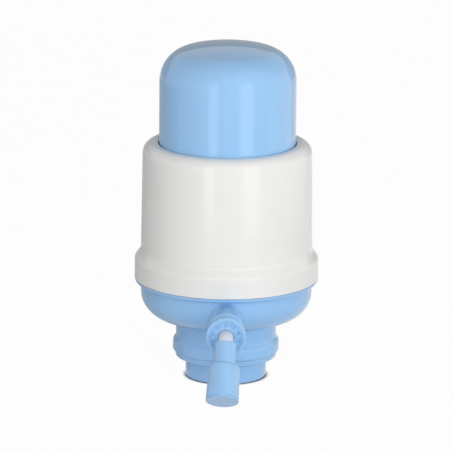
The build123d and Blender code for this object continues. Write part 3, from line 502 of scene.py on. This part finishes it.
# %% Spring rule
COILS = 11
COIL_STEPS = 44
WIRE_SIDES = 14
spring_start, coil = new_rule("spring", Radius="Float", Wire="Float", Foot="Float", Head="Float")
line = spring_start.node("GeometryNodeCurvePrimitiveLine")
points = spring_start.node("GeometryNodeResampleCurve", None, {
    "Curve": line,
    "Count": COILS * COIL_STEPS + 1,
})
turns = spring_start.node("GeometryNodeInputIndex") * (1 / COIL_STEPS)
closed = turns.between(0.0, 1.0) + turns.between(COILS - 1.0, COILS)
open_part = turns.between(1.0, COILS - 1.0)
foot, head = coil["Foot"] + coil["Wire"], coil["Head"] - coil["Wire"]
rise = closed * coil["Wire"] * 2.0 + (head - foot - coil["Wire"] * 4.0) * open_part
angle = turns * (2 * pi)
helix = spring_start.node("GeometryNodeSetPosition", None, {
    "Geometry": points,
    "Position": spring_start.node("CombineXYZ", None, {
        "X": spring_start.math("COSINE", angle) * coil["Radius"],
        "Y": spring_start.math("SINE", angle) * coil["Radius"],
        "Z": foot + rise,
    }),
})
wire = spring_start.node("GeometryNodeCurvePrimitiveCircle", None, {
    "Resolution": WIRE_SIDES,
    "Radius": coil["Wire"],
})
wound = spring_start.node("GeometryNodeCurveToMesh", None, {
    "Curve": helix,
    "Profile Curve": wire,
    "Fill Caps": True,
})
SPRING_RULE = end_rule(spring_start, wound, coil)
print("spring rule:", COILS, "coils")

# %% [markdown]
# The wire is 1.6 mm thick. The spring rides on the pump body, with a mesh of its own.

# %% Make the spring
WIRE_RADIUS = 0.8 * MM

low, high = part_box("return_spring")
spring = grow(
    "return_spring_wire", SPRING_RULE, "return_spring", "spring_steel",
    Radius=high[0] - WIRE_RADIUS, Wire=WIRE_RADIUS, Foot=low[2], Head=high[2],
)
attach(spring, "pump_body")
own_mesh(spring)

# %% [markdown]
# ## Hose
# The hose takes the water from the spigot to the back of the spout's boss. It is a
# soft tube pushed over both nipples. The rule rounds the corner of a three-point
# route and gives the tube its wall by pushing the bore's faces out along their
# normals.

# %% Hose rule
WELD_REACH = 0.01 * MM
BEND_POINTS = 24
RING_POINTS = 48
hose_start, tube = new_rule("hose", Bore="Float", Wall="Float", Bend="Float")
bent = hose_start.node("GeometryNodeFilletCurve", {"mode": "POLY"}, {
    "Curve": hose_start.node("GeometryNodeMeshToCurve", None, {0: tube["Geometry"]}),
    "Count": BEND_POINTS,
    "Radius": tube["Bend"],
})
bore_ring = hose_start.node("GeometryNodeCurvePrimitiveCircle", None, {
    "Resolution": RING_POINTS,
    "Radius": tube["Bore"],
})
bore_wall = hose_start.node("GeometryNodeCurveToMesh", None, {
    "Curve": bent,
    "Profile Curve": bore_ring,
})
outside = hose_start.node("GeometryNodeExtrudeMesh", {"mode": "FACES"}, {
    "Mesh": bore_wall,
    "Offset Scale": tube["Wall"],
    "Individual": False,
})
inside = hose_start.node("GeometryNodeFlipFaces", None, {"Mesh": bore_wall})
both = hose_start.node("GeometryNodeJoinGeometry", None, {"Geometry": [outside, inside]})
welded = hose_start.node("GeometryNodeMergeByDistance", None, {
    "Geometry": both,
    "Distance": WELD_REACH,
})
HOSE_RULE = end_rule(hose_start, welded, tube)
print("hose rule ready")

# %% [markdown]
# The route goes straight up from the spigot and then forward to the boss, whose
# middle is at the height of the port.

# %% Make the hose
PORT_HEIGHT = 42 * MM
HOSE_BORE_RADIUS = 4.02 * MM
HOSE_WALL = 1.58 * MM
HOSE_BEND = 5.9 * MM

low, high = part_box("riser_hose")
hose = grow(
    "riser_hose_tube", HOSE_RULE, "riser_hose", "hose_silicone",
    route=[(0, 0, low[2]), (0, 0, PORT_HEIGHT), (0, low[1], PORT_HEIGHT)],
    Bore=HOSE_BORE_RADIUS, Wall=HOSE_WALL, Bend=HOSE_BEND,
)
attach(hose, "pump_body")

# %% [markdown]
# ## World
# The pump stands in a white studio. What the camera and the mirror rays see of the
# world is white by way of the light path, so no extra light is needed for a white
# background. The world itself adds only a tenth of that white to the light.

# %% World
def background_rays(start):
    """1 for rays from the camera, a mirror or glass, and 0 for rays that carry light."""
    seen = start.node("LightPath", output="Is Camera Ray")
    mirrored = start.node("LightPath", output="Is Glossy Ray")
    through = start.node("LightPath", output="Is Transmission Ray")
    return start.math("MINIMUM", seen + mirrored + through, 1.0)


AMBIENT = 0.1
world = bpy.data.worlds.new("studio")
world.use_nodes = True
world.node_tree.nodes.clear()
sky = Wire(world.node_tree)
level = background_rays(sky) * (1 - AMBIENT) + AMBIENT
background = sky.node("Background", None, {"Color": (1, 1, 1, 1), "Strength": level})
sky.node("OutputWorld", None, {"Surface": background})
bpy.context.scene.world = world
print("world:", world.name, "ambient", AMBIENT)

# %% [markdown]
# ## Floor
# The floor is white in the same way. A small share of its own shading keeps the pump's soft shadow,
# and a larger share shows in the gloss. The narrow gap where the skirt meets the floor is darkened by
# ambient occlusion in the floor's white glow: a painted contact shadow.

# %% Floor
SHADOW_SHARE = 0.03
MIRROR_SHADOW_SHARE = 0.2
CONTACT_REACH = 3.5 * MM
OPEN_ENOUGH = 0.62
CONTACT_FADE = 0.3
FLOOR_HALF = 2.5

floor_paint, start = new_tree("floor_paint")
place = start.node("TexCoord", output="Object")
mottle = start.node("TexNoise", None, {0: place, "Scale": 8.0, "Detail": 3.0})
pale = mottle.tint(linear(236, 236, 236), linear(240, 240, 240))
paint = start.node("BsdfDiffuse", None, {"Color": pale})
# Ambient occlusion dims the floor's white glow beside the skirt: a painted contact shadow.
open_air = start.node("AmbientOcclusion", {"samples": 16}, {"Distance": CONTACT_REACH}, output="AO")
painted_contact_shadow = open_air.above(OPEN_ENOUGH, CONTACT_FADE)
glow = start.node("Emission", None, {"Color": (1, 1, 1, 1), "Strength": painted_contact_shadow})
straight = start.node("LightPath", output="Is Camera Ray")
share = background_rays(start) * (1 - MIRROR_SHADOW_SHARE)
share += straight * (MIRROR_SHADOW_SHARE - SHADOW_SHARE)
shown = start.node("MixShader", None, {0: share, 1: paint, 2: glow})
start.node("OutputMaterial", None, {"Surface": shown})


def sheet(name, corners, material):
    """A flat stage piece through four corners."""
    mesh = bpy.data.meshes.new(name)
    mesh.from_pydata(corners, [], [(0, 1, 2, 3)])
    mesh.materials.append(material)
    made = bpy.data.objects.new(name, mesh)
    bpy.context.scene.collection.objects.link(made)
    return made


sheet("floor", [
    (-FLOOR_HALF, -FLOOR_HALF, 0),
    (FLOOR_HALF, -FLOOR_HALF, 0),
    (FLOOR_HALF, FLOOR_HALF, 0),
    (-FLOOR_HALF, FLOOR_HALF, 0),
], floor_paint)
print("floor:", 2 * FLOOR_HALF, "m square")

# %% [markdown]
# ## Grey flag and grey card
# A glossy dome seen almost edge-on mirrors what stands behind it. In a small studio
# that is a grey flag behind the table, just out of the picture, which also keeps the
# top of the cap from washing out. The left flanks mirror the floor behind them, and a
# grey card that lies there gives them a darker edge. The camera sees neither, and the
# card shows in the gloss alone. The flag's foot is lifted off the floor, so that it
# has no contact shadow.

# %% Grey flag and grey card
GREY = 0.5
FLAG_BACK = 1.2
FLAG_HALF_WIDTH = 1.6
FLAG_FOOT, FLAG_TOP = 0.01, 0.62
CARD_LEFT, CARD_BACK = -1.0, 0.9
CARD_RIGHT_FRONT, CARD_RIGHT_BACK = -0.03, 0.05
CARD_HEIGHT = 0.4 * MM

flag_paint, start = new_tree("flag_paint")
place = start.node("TexCoord", output="Object")
cloth = start.node("TexNoise", None, {0: place, "Scale": 30.0, "Detail": 2.0})
weave = cloth.tint((1, 1, 1, 1), (0.96, 0.96, 0.96, 1))
glow = start.node("Emission", None, {"Color": weave, "Strength": GREY})
start.node("OutputMaterial", None, {"Surface": glow})

flag = sheet("grey_flag", [
    (-FLAG_HALF_WIDTH, FLAG_BACK, FLAG_FOOT),
    (FLAG_HALF_WIDTH, FLAG_BACK, FLAG_FOOT),
    (FLAG_HALF_WIDTH, FLAG_BACK, FLAG_TOP),
    (-FLAG_HALF_WIDTH, FLAG_BACK, FLAG_TOP),
], flag_paint)
card = sheet("grey_card", [
    (CARD_LEFT, 0, CARD_HEIGHT),
    (CARD_RIGHT_FRONT, 0, CARD_HEIGHT),
    (CARD_RIGHT_BACK, CARD_BACK, CARD_HEIGHT),
    (CARD_LEFT, CARD_BACK, CARD_HEIGHT),
], flag_paint)
flag.visible_camera = False
card.visible_camera = False
card.visible_diffuse = False
card.visible_shadow = False
card.visible_transmission = False
print("grey pieces:", flag.name, card.name)

# %% [markdown]
# ## Lamps
# Two kinds of light work together. Soft boxes shape the pump and don't show in its
# gloss. Strips do the opposite: they are only seen as reflections. So the shading and
# the highlights can each be set without spoiling the other. Every lamp is a rectangle
# aimed at the pump, and its brightness is how bright it looks, where 1 is white.

# %% One lamp
def lamp(name, spot, aim, width, height, brightness, mirror_only):
    """A soft rectangle of light that either only lights or only shows in the gloss."""
    light = bpy.data.lights.new(name, "AREA")
    light.shape = "RECTANGLE"
    light.size, light.size_y = width, height
    light.energy = brightness * pi * width * height
    made = bpy.data.objects.new(name, light)
    bpy.context.scene.collection.objects.link(made)
    turn = (spot - aim).to_track_quat("Z", "Y").to_matrix().to_4x4()
    made.matrix_world = Matrix.Translation(spot) @ turn
    made.visible_camera = False
    made.visible_diffuse = not mirror_only
    made.visible_glossy = mirror_only
    print(name, "at", [round(v, 2) for v in spot], "energy", round(light.energy, 2))


print("lamp helper ready")

# %% [markdown]
# ## Soft boxes
# Eight soft boxes stand round the pump. A low one and a high one in front and one on
# each side do most of the work. The top one is weak, so that the crown doesn't wash
# out, and the ones behind keep the back from going dark. A bearing is counted from
# the camera's side, to the right.

# %% Soft boxes
MIDDLE = Vector((0, 0, 0.12))
BOX_DISTANCE = 1.4
BOX_WIDTH, BOX_HEIGHT = 0.9, 0.7


def soft_box(name, bearing, rise, brightness):
    """A large box aimed at the pump from a bearing and a height, both in degrees."""
    turn, lift = radians(bearing), radians(rise)
    away = Vector((sin(turn) * cos(lift), -cos(turn) * cos(lift), sin(lift)))
    spot = MIDDLE + away * BOX_DISTANCE
    lamp(name, spot, MIDDLE, BOX_WIDTH, BOX_HEIGHT, brightness, mirror_only=False)


soft_box("front", 12, 5, 2.4)
soft_box("front_high", 0, 36, 3.0)
soft_box("top", 0, 80, 0.8)
soft_box("front_right", 45, 5, 2.1)
soft_box("right", 75, 5, 2.6)
soft_box("left", -48, 5, 2.9)
soft_box("back_right", 130, 20, 0.8)
soft_box("back", 180, 8, 2.4)

# %% [markdown]
# ## Strips
# Two narrow strips beside the camera draw the upright highlights on the cap and the
# shell. A wide dim one on the right lifts the dark right flank, and a dim high one
# lights the right shoulder of the crown.

# %% Strips
STRIP_DISTANCE = 0.45
TALL = 0.34


def strip(name, left, right, low, high, brightness):
    """An upright reflection between two bearings, in degrees, and two heights."""
    turn, half = radians((left + right) / 2), radians((right - left) / 2)
    spot = Vector((sin(turn), -cos(turn), 0)) * STRIP_DISTANCE + Vector((0, 0, (low + high) / 2))
    width = 2 * STRIP_DISTANCE * tan(half)
    lamp(name, spot, Vector((0, 0, spot.z)), width, high - low, brightness, mirror_only=True)


strip("strip_left", -31, -16, 0.0, TALL, 1.2)
strip("strip_right", 20, 42, 0.0, TALL, 1.1)
strip("strip_side", 70, 130, 0.0, TALL, 0.38)
strip("strip_high", 20, 80, TALL, 0.9, 0.4)
